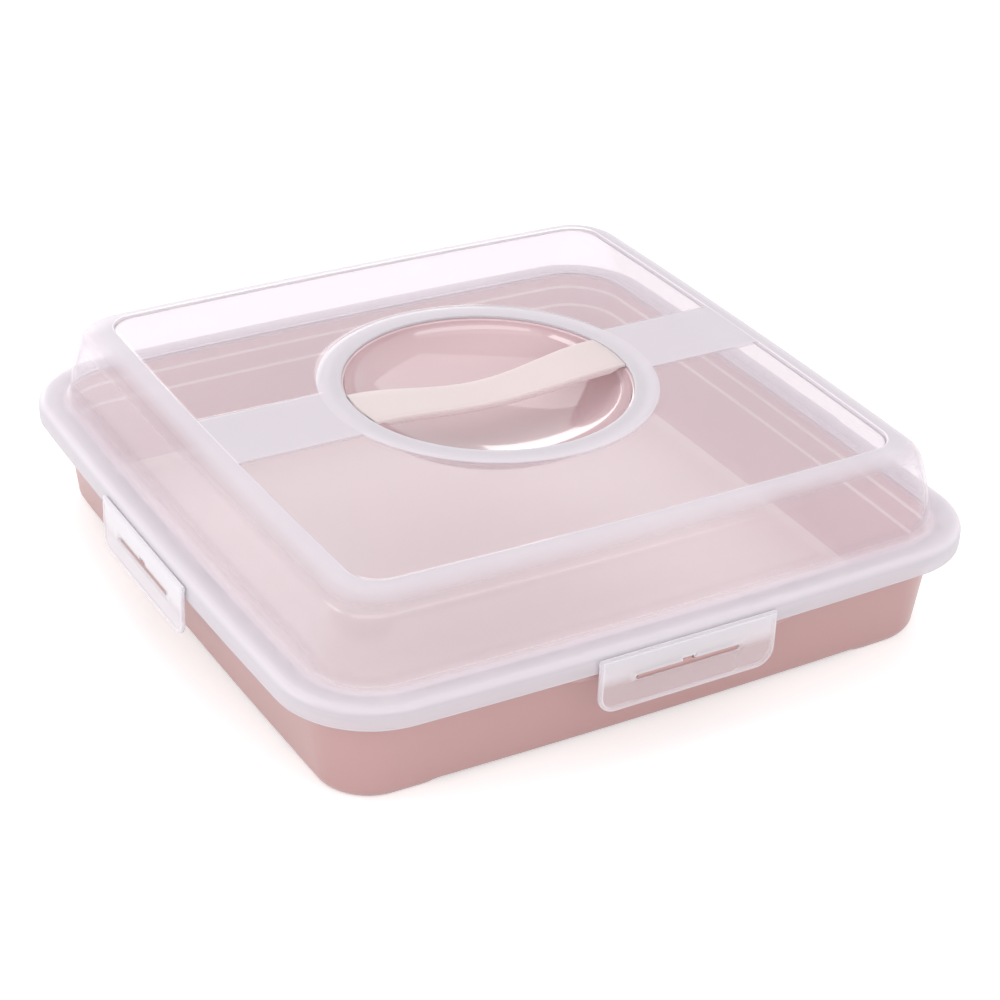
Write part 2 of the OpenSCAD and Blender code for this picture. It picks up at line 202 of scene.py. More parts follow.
# %% Tub profile
FOOT_H = 1.5         # height, width and length along the side of a corner foot
FOOT_W = 9.0
FOOT_LEN = 16.0
FOOT_RAMP = 5.0
TUB_WALL = 2.0
TUB_FOOT_HALF = RIM_HALF - 22
TUB_TOP_HALF = RIM_HALF - 11
TUB_FOOT_CORNER = 24.0
TUB_TOP_CORNER = 35.0
ROUND_H = 6.0        # height and width of the rounded edge at the floor
ROUND_W = 3.5
FLOOR_FILLET = 9.0
FLOOR_STEPS = 10
LEDGES = (40.5, 50.5)
LEDGE = 1.0          # width of a ledge
FLANGE = 2.0         # thickness of the flange
LIP_HALF = RIM_HALF - LID_WALL - 0.8
LIP_CORNER = RIM_CORNER - (RIM_HALF - LIP_HALF)
LIP_T = 1.8
LIP_Z = TUB_TOP_Z - 7
APRON_H = 6.0        # how much lower the lip hangs behind a clip
APRON_HALF = 50.0
APRON_RAMP = 22.0
FLOOR_Z = FOOT_H + TUB_WALL

tub_straight = TUB_FOOT_HALF - TUB_FOOT_CORNER - BOW
along_side = np.abs(share_of_side) * tub_straight
behind_clip = ease((APRON_HALF + APRON_RAMP - along_side) / APRON_RAMP)
at_foot = ease((along_side - (tub_straight - FOOT_LEN - FOOT_RAMP)) / FOOT_RAMP)


def wall(z, shift=0.0):
    """[half width, corner radius, height] of the tub's outer wall at heights z, moved out by shift.
    Both grow in a straight line from the rounded edge at the floor to the flange."""
    z = np.atleast_1d(np.asarray(z, float))
    t = (z - ROUND_H) / (TUB_TOP_Z - ROUND_H)
    half = TUB_FOOT_HALF + ROUND_W + (TUB_TOP_HALF - TUB_FOOT_HALF - ROUND_W) * t
    corner = TUB_FOOT_CORNER + (TUB_TOP_CORNER - TUB_FOOT_CORNER) * t
    return np.stack([half + shift, corner + shift, z], -1)


def around(centre, offsets):
    """Rows [half, corner, height] on an arc of offsets [out, up] round a centre of the same form."""
    return np.stack([centre[0] + offsets[:, 0], centre[1] + offsets[:, 0], centre[2] + offsets[:, 1]], -1)


def tub_rows():
    """Rows of the tub as [half, corner, height, share of the apron's drop, share of the feet's drop]."""
    fillet = wall(FLOOR_Z + FLOOR_FILLET, -TUB_WALL - 2 * LEDGE - FLOOR_FILLET)[0]
    lowest, between = -TUB_WALL - 2 * LEDGE, -TUB_WALL - LEDGE
    mouth_r, edge_r = 1.1, 1.5
    mouth = wall(TUB_TOP_Z - mouth_r, mouth_r - TUB_WALL)[0]
    edge = np.array([LIP_HALF - edge_r, LIP_CORNER - edge_r, TUB_TOP_Z - edge_r])
    low, high = LEDGES
    inside = [
        around(fillet, quarter(FLOOR_FILLET, -90, 0, FLOOR_STEPS)),
        wall(np.linspace(FLOOR_Z + FLOOR_FILLET + 4, low - 0.6, 6), lowest),
        wall([low - 0.15, low + 0.1], lowest + 0.1), wall([low + 0.5], -TUB_WALL - 1.3 * LEDGE),
        wall([low + LEDGE, low + 3, high - 2, high - 0.6], between),
        wall([high - 0.15, high + 0.1], between + 0.1), wall([high + 0.5], -TUB_WALL - 0.3 * LEDGE),
        wall([high + LEDGE, high + 3], -TUB_WALL),
        around(mouth, quarter(mouth_r, 180, 90)),
        around(edge, quarter(edge_r, 90, 0))]
    skin = np.concatenate(inside)
    skin = np.concatenate([skin, np.zeros((len(skin), 2))], 1)
    lip_inner, inner_corner = LIP_HALF - LIP_T, LIP_CORNER - LIP_T
    under = TUB_TOP_Z - FLANGE
    lip = [[LIP_HALF, LIP_CORNER, LIP_Z + 0.6, 1, 0],
           [LIP_HALF - 0.2, LIP_CORNER, LIP_Z + 0.15, 1, 0],
           [LIP_HALF - 0.6, LIP_CORNER, LIP_Z, 1, 0],
           [lip_inner + 0.5, inner_corner, LIP_Z, 1, 0],
           [lip_inner, inner_corner, LIP_Z + 0.5, 1, 0],
           [lip_inner, inner_corner, under - 0.4, 0, 0],
           [lip_inner - 0.4, inner_corner, under, 0, 0]]
    outside = wall([under - 0.3, under - 1.5, 48, 40, 32, 24, 16, 10, 8, ROUND_H])
    outside = np.concatenate([outside, np.zeros((len(outside), 2))], 1)
    sweep = np.radians(np.linspace(8, 90, 9))
    level = np.zeros(len(sweep))
    edge_rows = np.stack([TUB_FOOT_HALF + ROUND_W * np.cos(sweep), level + TUB_FOOT_CORNER,
                          ROUND_H - (ROUND_H - FOOT_H) * np.sin(sweep), level, np.sin(sweep) ** 4], -1)
    foot_in, foot_corner = TUB_FOOT_HALF - FOOT_W, TUB_FOOT_CORNER - FOOT_W
    feet = [[foot_in + 2, foot_corner + 2, FOOT_H, 0, 1],
            [foot_in, foot_corner, FOOT_H, 0, 1],
            [foot_in - 1.5, foot_corner - 1, FOOT_H, 0, 0]]
    return np.concatenate([skin, lip, outside, edge_rows, feet])


tub_profile = tub_rows()
tub_flat = rings(tub_profile[:, 0], tub_profile[:, 1])
tub_z = (tub_profile[:, 2:3] - APRON_H * tub_profile[:, 3:4] * behind_clip[None, :]
         - FOOT_H * tub_profile[:, 4:5] * at_foot[None, :])
tub_points = raised(tub_flat, tub_z)
shrink = np.array([0.15, 0.35, 0.6, 0.85])[:, None, None]
floor_rows = tub_points[:1] * np.concatenate([shrink, shrink, shrink * 0 + 1], -1)
under_rows = tub_points[-1:] * np.concatenate([shrink[::-1], shrink[::-1], shrink * 0 + 1], -1)
tub = surface("tub", np.concatenate([floor_rows, tub_points, under_rows]), "base", poles=True)
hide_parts("base_tub")

# %% [markdown]
# ### Painted light inside the tub
# The tub is one plastic, satin outside. Inside it is painted lighter, as painted light: a paler and
# more matt pink on the inner walls, and the palest pink on the floor and the edges of the ledges, as the
# photograph shows them through the lid. On the floor that is a painted sheen, and on the ledges' edges
# painted highlights. Each row of faces gets the number of its colour. After the rows come the faces at
# the two poles.

# %% Painted light on each face of the tub
# The inner walls and the floor are painted paler than the outside: painted light for the light that falls in
# through the lid, and on the floor a painted sheen.
OUTSIDE, LIT_INNER_WALL, LIT_FLOOR_AND_LEDGES = 0, 1, 2
columns = tub_points.shape[1]
profile_z = tub_profile[:, 2]
inner_rows = int(np.argmax(profile_z)) + 1
# The edges of the ledges get the floor's palest pink as painted highlights.
ledge_highlight = np.any([(profile_z > low - 0.2) & (profile_z < low + LEDGE) for low in LEDGES], 0)
ledge_highlight[inner_rows:] = False
profile_paint = np.where(np.arange(len(profile_z)) < inner_rows, LIT_INNER_WALL, OUTSIDE)
profile_paint[:FLOOR_STEPS // 2] = LIT_FLOOR_AND_LEDGES
profile_paint[ledge_highlight] = LIT_FLOOR_AND_LEDGES
row_paint = np.concatenate([np.full(len(floor_rows), LIT_FLOOR_AND_LEDGES), profile_paint,
                            np.full(len(under_rows) - 1, OUTSIDE), [LIT_FLOOR_AND_LEDGES, OUTSIDE]])
tub.data.polygons.foreach_set("material_index", np.repeat(row_paint, columns).astype(np.int32))
print("rows of faces per finish:", np.bincount(row_paint))

# %% [markdown]
# ## The lid
# The lid is one thin moulding as well: a flat deck with a round hole, a border that slopes away, steep
# walls, and a rim with a skirt. Two windows in the deck are polished and lie half a millimetre lower
# than the frosted frame round them. The skin goes down the outside and comes back up the inside, so
# rows and columns both close, like a ring doughnut, and the wall has its true thickness.
# On the deck the columns have to run from a circle to a square. They are straight lines between the
# two, and two of them on each side follow the edges of the frosted band.

# %% Lid profile
BORDER_W = 14.5
BORDER_DROP = 5.8
BORDER_CORNER = 25.0
WINDOW_T = 0.5       # how much lower a window lies
FOOT_HALF = RIM_HALF - 16
FOOT_CORNER = RIM_CORNER - 16
BULGE = 1.2
RIM_ROUND = 4.2
BORDER_HALF = DECK_HALF + BORDER_W
WALL_TOP_Z = DECK_Z - BORDER_DROP
FROST = 0.75         # share of light caught by a frosted surface met squarely
CLEAR = 0.10         # and by a polished one
INNER = 0.3          # the milk of an inner face, as a share of the outer one's
TONE = 0.70          # how white a frosted face is, as a share of full white
MATT = 0.14          # roughness of the frosted faces
POLISHED = 0.07      # and of the polished ones
SLOPE_STOPS = [0.04, 0.15, 0.3, 0.45, 0.6, 0.72, 0.82]
SLOPE_MILK = [0.7, 0.7, 0.67, 0.58, 0.44, 0.32, 0.24]
WALL_STOPS = [0.07, 0.12, 0.2, 0.35, 0.5, 0.65, 0.8, 0.9, 0.94]
SIDE_MILK = [0.13, 0.12, 0.11, 0.10, 0.10, 0.10, 0.12, 0.16, 0.19]
RIDGE_STEPS = 8
# The rim's crest carries a painted highlight: these tones peak at the crest and fall to the skirt's.
RIDGE_HIGHLIGHT_TONE = [0.88, 0.9, 0.92, 0.95, 0.93, 0.86, 0.78, 0.72, 0.72]
SKIRT_TONE = 0.72

deck_edge = rings(DECK_HALF, DECK_CORNER)[0]
edge_angle = np.arctan2(deck_edge[:, 1], deck_edge[:, 0])


def circle_angles():
    """The angle at which each column crosses the frosted ring.

    A column that keeps its angle from the deck's edge would leave the band, which has parallel edges.
    So on the left and right sides the angles are stretched, so that the columns at the band's edge
    cross the ring at the band's edge too: sin(angle) = band half width / ring radius."""
    folded = np.abs((edge_angle + math.pi / 2) % math.pi - math.pi / 2)
    marks = np.array([0, BAND_HALF - STEP, BAND_HALF + STEP])
    at_edge = np.concatenate([np.arctan2(marks, DECK_HALF), [math.pi / 4, math.pi / 2]])
    at_ring = np.concatenate([np.arcsin(marks / RING_OUT), [math.pi / 4, math.pi / 2]])
    turned = np.interp(folded, at_edge, at_ring)
    return np.arctan2(np.sin(turned) * np.sign(deck_edge[:, 1]), np.cos(turned) * np.sign(deck_edge[:, 0]))


column_angle = circle_angles()
in_window = np.abs(deck_edge[:, 1]) > BAND_HALF


def circles(radius):
    """Rings on circles, one per radius, with a point on each column."""
    radius = np.atleast_1d(radius)[:, None]
    return np.stack([radius * np.cos(column_angle), radius * np.sin(column_angle)], -1)


def deck_rows(z_top, recess):
    """The flat deck from the frosted ring to the deck's edge, with its windows lower by recess."""
    inner, outer = circles(RING_OUT + STEP)[0], rings(DECK_HALF - STEP, DECK_CORNER)[0]
    t = np.array([0, 0.03, 0.15, 0.3, 0.45, 0.6, 0.75, 0.9, 0.98, 1])[:, None, None]
    return raised((1 - t) * inner + t * outer, np.tile(z_top - recess * in_window, (len(t), 1)))


def border(s, shift=0.0):
    """Rows of the sloping border, which falls by s^1.5 of its drop at a share s of its width."""
    s = np.atleast_1d(np.asarray(s, float))
    return np.stack([DECK_HALF + BORDER_W * s + shift,
                     DECK_CORNER + (BORDER_CORNER - DECK_CORNER) * s + 0.8 * shift,
                     DECK_Z - BORDER_DROP * s ** 1.5 + shift], -1)


def lid_side(s, shift=0.0):
    """Rows of the lid's wall, from the border at s = 0 to the foot at s = 1. It bulges by 4 s (1 - s)."""
    s = np.atleast_1d(np.asarray(s, float))
    return np.stack([BORDER_HALF + (FOOT_HALF - BORDER_HALF) * s + 4 * BULGE * s * (1 - s) + shift,
                     BORDER_CORNER + (FOOT_CORNER - BORDER_CORNER) * s + shift,
                     WALL_TOP_Z - (WALL_TOP_Z - RIM_Z) * s], -1)


def shell_rows(inward):
    """Rows of the lid from the border to the skirt, moved in by the wall's thickness where asked, as
    [half width, corner radius, height, milk, roughness, tone with painted highlight]. Milk is the share
    of light a surface catches: high on the frosted border and rim, low on the polished wall, with soft
    changes. On the rim the tone is painted light: the top is whiter than the skirt's face, and the
    crest's rows carry a painted highlight."""
    shift = -LID_WALL if inward else 0.0
    slope = border(SLOPE_STOPS, shift)
    side = lid_side(WALL_STOPS, shift)
    crease = bend(slope[-1], border(1, shift)[0], side[0])
    rim_z = RIM_Z + shift
    foot_end = np.array([FOOT_HALF + 2.2 + shift, FOOT_CORNER + 2.2 + shift, rim_z])
    foot = bend(side[-1], [FOOT_HALF + 0.4 + shift, FOOT_CORNER + 0.4 + shift, rim_z], foot_end, 4)
    round_r = RIM_ROUND + shift
    centre = np.array([RIM_HALF - RIM_ROUND, RIM_CORNER - RIM_ROUND, RIM_Z - RIM_ROUND])
    ridge = around(centre, quarter(round_r, 90, 0, RIDGE_STEPS))
    flat = np.linspace(foot_end, ridge[0], 5)[:-1]
    skirt_end = np.array([ridge[-1][0], ridge[-1][1], SKIRT_Z + 1.2])
    face = ridge[-1] + (skirt_end - ridge[-1]) * np.array([0.35, 0.7, 1])[:, None]
    lip = [[RIM_HALF - 0.1, RIM_CORNER, SKIRT_Z + 0.5], [RIM_HALF - 0.5, RIM_CORNER - 0.5, SKIRT_Z]]
    if inward:
        lip = [[RIM_HALF - LID_WALL + 0.3, RIM_CORNER - LID_WALL, SKIRT_Z]]
    stretches = [                # rows, milk, roughness and tone from each stretch's first row to its last
        (slope, SLOPE_MILK, 0.28, (0.69, 0.76)),
        (crease, (0.2, 0.15), 0.18, (0.84, 0.95)),
        (side, SIDE_MILK, POLISHED, (1.0, 1.0)),
        (foot, (0.22, 0.3), 0.16, (0.98, 0.98)),
        # Painted light on the rim: the top is whiter than the skirt's face, and the ridge's tones peak at
        # the crest as a painted highlight.
        (flat, (0.34, 0.6), 0.22, (0.96, 0.88)),
        (ridge, (0.66, 0.76), 0.22, RIDGE_HIGHLIGHT_TONE),
        (face, (0.7, 0.6), 0.22, (SKIRT_TONE, SKIRT_TONE)),
        (np.array(lip), (0.85, 0.85), 0.22, (SKIRT_TONE, SKIRT_TONE))]

    def spread(values, count):
        return np.linspace(*values, count) if len(values) == 2 else np.array(values)

    return np.concatenate([
        np.column_stack([rows, spread(milk, len(rows)), np.full(len(rows), rough), spread(tone_and_highlight, len(rows))])
        for rows, milk, rough, tone_and_highlight in stretches])


def lid_points():
    """All rows of the lid, and its milk, roughness and tone at each point. The ring, the band and the
    rows next to them are frosted, and the two windows are polished. The row at the deck's edge is
    frosted and full white, a painted highlight along the edge, and the rim's tone is painted light."""
    columns = len(column_angle)

    def even(count, value):
        return np.full((count, columns), value)

    def by_window(count, inside, outside):
        return np.tile(np.where(in_window, inside, outside), (count, 1))

    hole_edge = raised(circles([HOLE_R, HOLE_R, HOLE_R + 0.15, HOLE_R + 0.5]),
                       [DECK_Z - LID_WALL + 0.4, DECK_Z - 0.5, DECK_Z - 0.15, DECK_Z])
    ring_top = raised(circles([73, 76, 80, RING_OUT - STEP]), [DECK_Z] * 4)
    deck_top = deck_rows(DECK_Z, WINDOW_T)
    edge_top = raised(rings(DECK_HALF + STEP, DECK_CORNER), [DECK_Z - 0.01])
    outer, inner = shell_rows(False), shell_rows(True)[::-1]
    out = raised(rings(outer[:, 0], outer[:, 1]), outer[:, 2])
    back = raised(rings(inner[:, 0], inner[:, 1]), inner[:, 2])
    deck_low = deck_rows(DECK_Z - LID_WALL, 0)[::-1]
    ring_low = raised(circles([RING_OUT - STEP, 78, 74, HOLE_R + 0.5]), [DECK_Z - LID_WALL] * 4)
    whole = np.ones((1, columns))
    milk = [even(8, FROST), by_window(len(deck_top), CLEAR, FROST), even(1, FROST), outer[:, 3:4] * whole,
            INNER * inner[:, 3:4] * whole, by_window(len(deck_low), INNER * CLEAR, INNER * FROST),
            even(4, INNER * FROST)]
    rough = [even(8, MATT), by_window(len(deck_top), POLISHED, MATT), even(1, 0.15), outer[:, 4:5] * whole,
             inner[:, 4:5] * whole, by_window(len(deck_low), POLISHED, MATT), even(4, MATT)]
    # The row at the deck's edge is painted full white: a painted highlight along the edge.
    tone_and_highlight = [even(8, TONE + 0.05), by_window(len(deck_top), 1.0, TONE), even(1, 1.0), outer[:, 5:6] * whole,
            inner[:, 5:6] * whole, by_window(len(deck_low), 1.0, TONE), even(4, TONE + 0.04)]
    points = np.concatenate([hole_edge, ring_top, deck_top, edge_top, out, back, deck_low, ring_low])
    finish = {"milk": np.concatenate(milk), "rough": np.concatenate(rough), "tone_and_highlight": np.concatenate(tone_and_highlight)}
    return points, finish


lid_grid, lid_finish = lid_points()
lid = surface("lid", lid_grid, "lid", close_rows=True, finish=lid_finish)
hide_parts("lid_shell")
print("share of the lid's points that are clear:", round(float((lid_finish["milk"] < 0.1).mean()), 2))

# %% [markdown]
# ## The bowl
# The grip bowl is round, so it is a profile turned about the carrier's middle: an array of radii and
# heights against an array of angles. Its flange lies under the frosted ring, and two pockets in the
# flange take the strap's tabs: there the flange's top lies lower, which is a matter of the angle.

# %% Bowl
BOWL_WALL = 1.8
BOWL_TOP_R = HOLE_R - 1
FLANGE_T = 2.6
POCKET_DEPTH = 1.5
POCKET_HALF = 12.3   # half a pocket's width
POCKET_R = 76.3      # how far out it reaches
BOWL_COLUMNS = 144
FLANGE_TRIM = 2.3    # the flange's edge slants in, so that it doesn't show below the frosted ring
under_deck = DECK_Z - LID_WALL
bowl_drop = under_deck - bowl_low[2] - BOWL_WALL


def bowl_curve(radius, drop, steps=34):
    """The bowl's profile: radius cos(t)^0.75 and drop sin(t)^1.1, for t from the lip to the middle."""
    t = np.linspace(0, math.pi / 2, steps + 1)[1:-1]
    return np.stack([radius * np.cos(t) ** 0.75, under_deck - drop * np.sin(t) ** 1.1], -1)


turn_angle = np.linspace(0, 2 * math.pi, BOWL_COLUMNS, endpoint=False)
bowl_in = bowl_curve(BOWL_TOP_R, bowl_drop)[::-1]
bowl_under = bowl_curve(BOWL_TOP_R + BOWL_WALL, bowl_drop + BOWL_WALL)
bowl_under = bowl_under[bowl_under[:, 1] < under_deck - FLANGE_T]
flange_r = bowl_high[0] - FLANGE_TRIM
flange = np.array([[BOWL_TOP_R, under_deck - 0.3], [BOWL_TOP_R + 0.3, under_deck],
                   [BOWL_TOP_R + 2, under_deck], [POCKET_R, under_deck],
                   [POCKET_R + 0.3, under_deck], [flange_r, under_deck],
                   [POCKET_R - 1, under_deck - FLANGE_T], [bowl_under[0][0] + 1, under_deck - FLANGE_T]])
pocket_share = np.array([1, 1, 1, 1, 0, 0, 0, 0])
bowl_profile = np.concatenate([bowl_in, flange, bowl_under])
lowered = np.concatenate([np.zeros(len(bowl_in)), pocket_share, np.zeros(len(bowl_under))])
across = np.abs(np.sin(turn_angle)) * HOLE_R
in_pocket = ease((POCKET_HALF + 1 - across) / 1.0)
bowl_z = bowl_profile[:, 1:2] - POCKET_DEPTH * lowered[:, None] * in_pocket[None, :]
bowl_r = bowl_profile[:, 0:1]
bowl_grid = np.stack([bowl_r * np.cos(turn_angle), bowl_r * np.sin(turn_angle), bowl_z], -1)
bowl = surface("grip_bowl", bowl_grid, "lid", poles=True)
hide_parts("handle_bowl")

# %% [markdown]
# ## The grip strap
# The strap is a shallow channel, like a piece of cable cover: a top with two edges turned down, waisted
# in the middle and dipping into the bowl. One section, given as points across, is carried along X, and
# its width, height and edge depth change on the way. At the ends it follows the round hole.

# %% Strap
STRAP_WIDE = 31.5
STRAP_WAIST = 24.5
STRAP_T = 2.2        # thickness of its top
STRAP_EDGE = 3.2     # depth of its turned-down edges
STRAP_EDGE_T = 1.7   # and their thickness
STRAP_DIP = 6.0
STRAP_ROUND = 1.1
STRAP_END_R = HOLE_R - 0.3
STRAP_END_T = LID_WALL - 0.3


def strap_points(steps=60):
    """The strap as (steps, points of the section, 3).

    s goes from -1 to 1 along the strap. With w = (1 - cos(180 s)) / 2, the half width is waist to
    wide by w, and the top is dip * (1 - w) below the deck. A point at a given y lies at
    x = s sqrt(R^2 - y^2), so the ends follow the hole's circle of radius R."""
    s = np.linspace(-1, 1, 2 * steps + 1)[:, None]
    w = (1 - np.cos(math.pi * np.abs(s))) / 2
    half = (STRAP_WAIST + (STRAP_WIDE - STRAP_WAIST) * w) / 2
    top = DECK_Z - STRAP_DIP * (1 - w)
    run_out = np.clip((np.abs(s) - 0.88) / 0.07, 0, 1)
    depth = STRAP_EDGE + (STRAP_END_T - STRAP_EDGE) * run_out
    thick = np.minimum(STRAP_T, depth - 0.02)
    r = np.minimum(STRAP_ROUND, depth - 0.1)
    within = half - STRAP_EDGE_T
    turn = np.radians([180, 157, 135, 112, 90])
    left = [(-half + r + r * math.cos(a), top - r + r * math.sin(a)) for a in turn]
    middle = [(half * k, top + 0 * half) for k in (-0.6, -0.2, 0.2, 0.6)]
    right = [(-y, z) for y, z in left[::-1]]
    hollow = [(half - 0.3, top - depth), (within, top - depth), (within, top - thick - 0.4),
              (within - 0.4, top - thick), (-within + 0.4, top - thick),
              (-within, top - thick - 0.4), (-within, top - depth), (-half + 0.3, top - depth)]
    section = [(-half, top - depth + 0.3)] + left + middle + right + [(half, top - depth + 0.3)] + hollow
    y = np.concatenate([p[0] for p in section], 1)
    z = np.concatenate([p[1] for p in section], 1)
    z = np.maximum(z, top - depth)
    x = s * np.sqrt(STRAP_END_R ** 2 - y ** 2)
    return np.stack([x, y, z], -1)


strap = surface("grip_strap", strap_points(), "lid", poles=True)
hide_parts("handle_strap")

# %% [markdown]
# ## The clips
# A clip is a thin plate with a slot near its middle, a bead along its free edges and a round roll at
# the hinge. A plate with one hole is a ring, so its grid can run from the slot's outline to the plate's
# outline over the front, and back over the rear. Both outlines have the same columns.

# %% Clip outlines
CLIP_HALF = clip_high[0]
ROLL_R = 1.0
HINGE_Z = clip_high[2] - ROLL_R
CLIP_DEEP = HINGE_Z - clip_low[2]
CLIP_CORNER = 9.0
HINGE_OUT = RIM_HALF + 0.3 + ROLL_R
SLOT_HALF = 27.5
SLOT_H = 2.4
SLOT_DROP = 11.5     # from the hinge down to the slot
NOTCH_HALF = 3.0
NOTCH_H = 1.6
CLIP_T = 1.4
BEAD_W = 2.2
BEAD_T = 0.5         # how far the bead stands out
SIDES = ((0, "front"), (1, "right"), (2, "back"), (3, "left"))


def line(a, b, count):
    """Points from a towards b, without b."""
    return np.linspace(a, b, count, endpoint=False)


def mirrored(left, bottom):
    """An outline's left half from the top's middle to the bottom's, with its mirror image after it."""
    left = np.concatenate(left)
    return np.concatenate([left, [[0, bottom]], left[1:][::-1] * [-1, 1]])


def clip_edge(inset):
    """The plate's outline moved in by inset, anticlockwise from the middle of the top, as (columns, 2).
    The column counts per stretch match slot_edge's."""
    half, top, bottom = CLIP_HALF - inset, ROLL_R - inset, -CLIP_DEEP + inset
    r = max(CLIP_CORNER - inset, 0.3)
    angle = np.radians(line(180, 270, 10))
    corner = np.stack([-half + r + r * np.cos(angle), bottom + r + r * np.sin(angle)], -1)
    notch = 2 * NOTCH_HALF
    return mirrored([line((0, top), (-notch, top), 6), line((-notch, top), (-notch - 1, top), 4),
                     line((-notch - 1, top), (-half + 3, top), 20), line((-half + 3, top), (-half, top), 4),
                     line((-half, top), (-half, bottom + r), 12), corner,
                     line((-half + r, bottom), (0, bottom), 24)], bottom)


def slot_edge(grow):
    """The slot's outline moved out by grow, with the same columns as clip_edge."""
    r = SLOT_H / 2 + grow
    top, bottom = -SLOT_DROP + grow, -SLOT_DROP - SLOT_H - grow
    end = -SLOT_HALF + SLOT_H / 2
    peak = top + NOTCH_H
    side = -NOTCH_HALF - grow
    angle = np.radians(line(90, 270, 26))
    cap = np.stack([end + r * np.cos(angle), -SLOT_DROP - SLOT_H / 2 + r * np.sin(angle)], -1)
    return mirrored([line((0, peak), (side, peak), 6), line((side, peak), (side, top), 4),
                     line((side, top), (end, top), 20), cap, line((end, bottom), (0, bottom), 24)], bottom)


# %% [markdown]
# ### Thickness of the clip
# Front and rear face are the same grid at different depths. The depth is a function of the place: half
# the plate's thickness, plus a smooth bump for the bead, and near the hinge the depth of a circle.

# %% Clip pieces
CLIP_INSETS = [0, 0.08, 0.25, 0.5, 0.8, 1.1, 1.4, 1.8, BEAD_W + 0.2, BEAD_W + 1]
CLIP_SPREAD = (0.25, 0.5, 0.75)   # rows between the slot and the bead
CLIP_ROUND = 0.5                  # radius of the plate's outer edge
CUT_IN = 0.35                     # width of the bevel round the slot
PLATE_MILK = 0.10
BEAD_MILK = 0.16                  # what the bead adds
UPPER_MILK = 0.25                 # what the part above the slot adds
FADE = 8                          # height over which that comes in
CLIP_TONE = 0.9
CLIP_ROUGH = 0.25
RELIEF = 0.8                      # how far out the rear of the strip under the slot moves
RELIEF_FACE = 0.15                # and where that stops


def clip_points():
    """The clip as a grid (rows, columns, 3) in its own axes: x along, y up from the hinge, depth out."""
    rows = []
    for inset in CLIP_INSETS:
        flat = clip_edge(inset)
        y = flat[:, 1]
        plate = CLIP_T / 2
        if inset < CLIP_ROUND:
            plate = plate - CLIP_ROUND + math.sqrt(CLIP_ROUND ** 2 - (CLIP_ROUND - inset) ** 2)
        roll = np.sqrt(np.clip(ROLL_R ** 2 - y ** 2, 0, None))
        depth = np.where(y > -ROLL_R, np.maximum(roll, np.where(y < 0, plate, 0)), plate)
        bead = BEAD_T * math.sin(math.pi * min(inset / BEAD_W, 1)) ** 0.7 * ease((-y - 1.2) / 1.5)
        rows.append((flat, depth, bead))
    hole, edge, half = slot_edge(CUT_IN), slot_edge(0), CLIP_T / 2
    plate = [hole] + [(1 - t) * hole + t * rows[-1][0] for t in CLIP_SPREAD]

    def at(flat, depth):
        return np.column_stack([flat, np.broadcast_to(depth, len(flat))])

    front = [at(flat, half) for flat in plate] + [at(flat, depth + bead) for flat, depth, bead in rows[::-1]]
    rear = [at(flat, -depth) for flat, depth, bead in rows] + [at(flat, -half) for flat in plate[::-1]]
    return relieved(np.stack(front + rear + [at(edge, CUT_IN - half), at(edge, half - CUT_IN)]))


def clip_finish(grid):
    """Milk, roughness and tone of a clip's points: its beaded edge is milkier than its plate, and the
    plate is milkier above the slot than below it."""
    on_bead = np.array([inset < BEAD_W for inset in CLIP_INSETS], float)
    plate = np.zeros(len(CLIP_SPREAD) + 1)
    bead = np.concatenate([plate, on_bead[::-1], on_bead, plate, [0.5, 0.5]])[:, None]
    above = ease((grid[..., 1] + SLOT_DROP + FADE / 2) / FADE)
    milk = PLATE_MILK + UPPER_MILK * above + BEAD_MILK * bead * (1 - above)
    return {"milk": milk, "rough": CLIP_ROUGH + 0 * milk, "tone_and_highlight": CLIP_TONE + 0 * milk}


def relieved(grid):
    """The strip under the slot stands clear of the catch: its rear lies further out, by catch and gap."""
    x, y, depth = grid[..., 0], grid[..., 1], grid[..., 2]
    in_strip = ease((SLOT_HALF - 0.5 - np.abs(x)) / 1.0) * ease((-SLOT_DROP - SLOT_H / 2 - y) / 0.6)
    moved = np.minimum(depth + RELIEF * in_strip, RELIEF_FACE)
    return np.stack([x, y, np.where(depth < 0, moved, depth)], -1)


def placed(grid, turns):
    """A clip or catch in its own axes [x, y up, depth out] brought to a side of the carrier.
    turns counts quarter turns to the left, seen from above, from the front side."""
    x, y, depth = grid[..., 0], grid[..., 1], grid[..., 2]
    front = np.stack([x, -HINGE_OUT - depth, HINGE_Z + y], -1)
    c, s = [(1, 0), (0, 1), (-1, 0), (0, -1)][turns]
    return np.stack([c * front[..., 0] - s * front[..., 1], s * front[..., 0] + c * front[..., 1],
                     front[..., 2]], -1)


clip_grid = clip_points()
clips = []
for turns, side in SIDES:
    clip = surface(f"clip_piece_{side}", placed(clip_grid, turns), f"{side}_clip", close_rows=True,
                   finish=clip_finish(clip_grid))
    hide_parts(f"clip_{side}")
    clips.append(clip)

# %% [markdown]
# ## The catches
# Each clip snaps over a catch on the tub's lip. It is a small shelf with a nose that fills the notch in
# the clip's slot. Its section is carried along the shelf, and the nose rises where |x| is small.

# %% Catches
CATCH_IN = 0.5       # how far a catch stands into the slot
CATCH_GAP = 0.3      # and how much air it has there
CATCH_ROUND = 0.3
CATCH_HALF = SLOT_HALF - CATCH_GAP - 1
NOSE_HALF = NOTCH_HALF - CATCH_GAP - 0.5


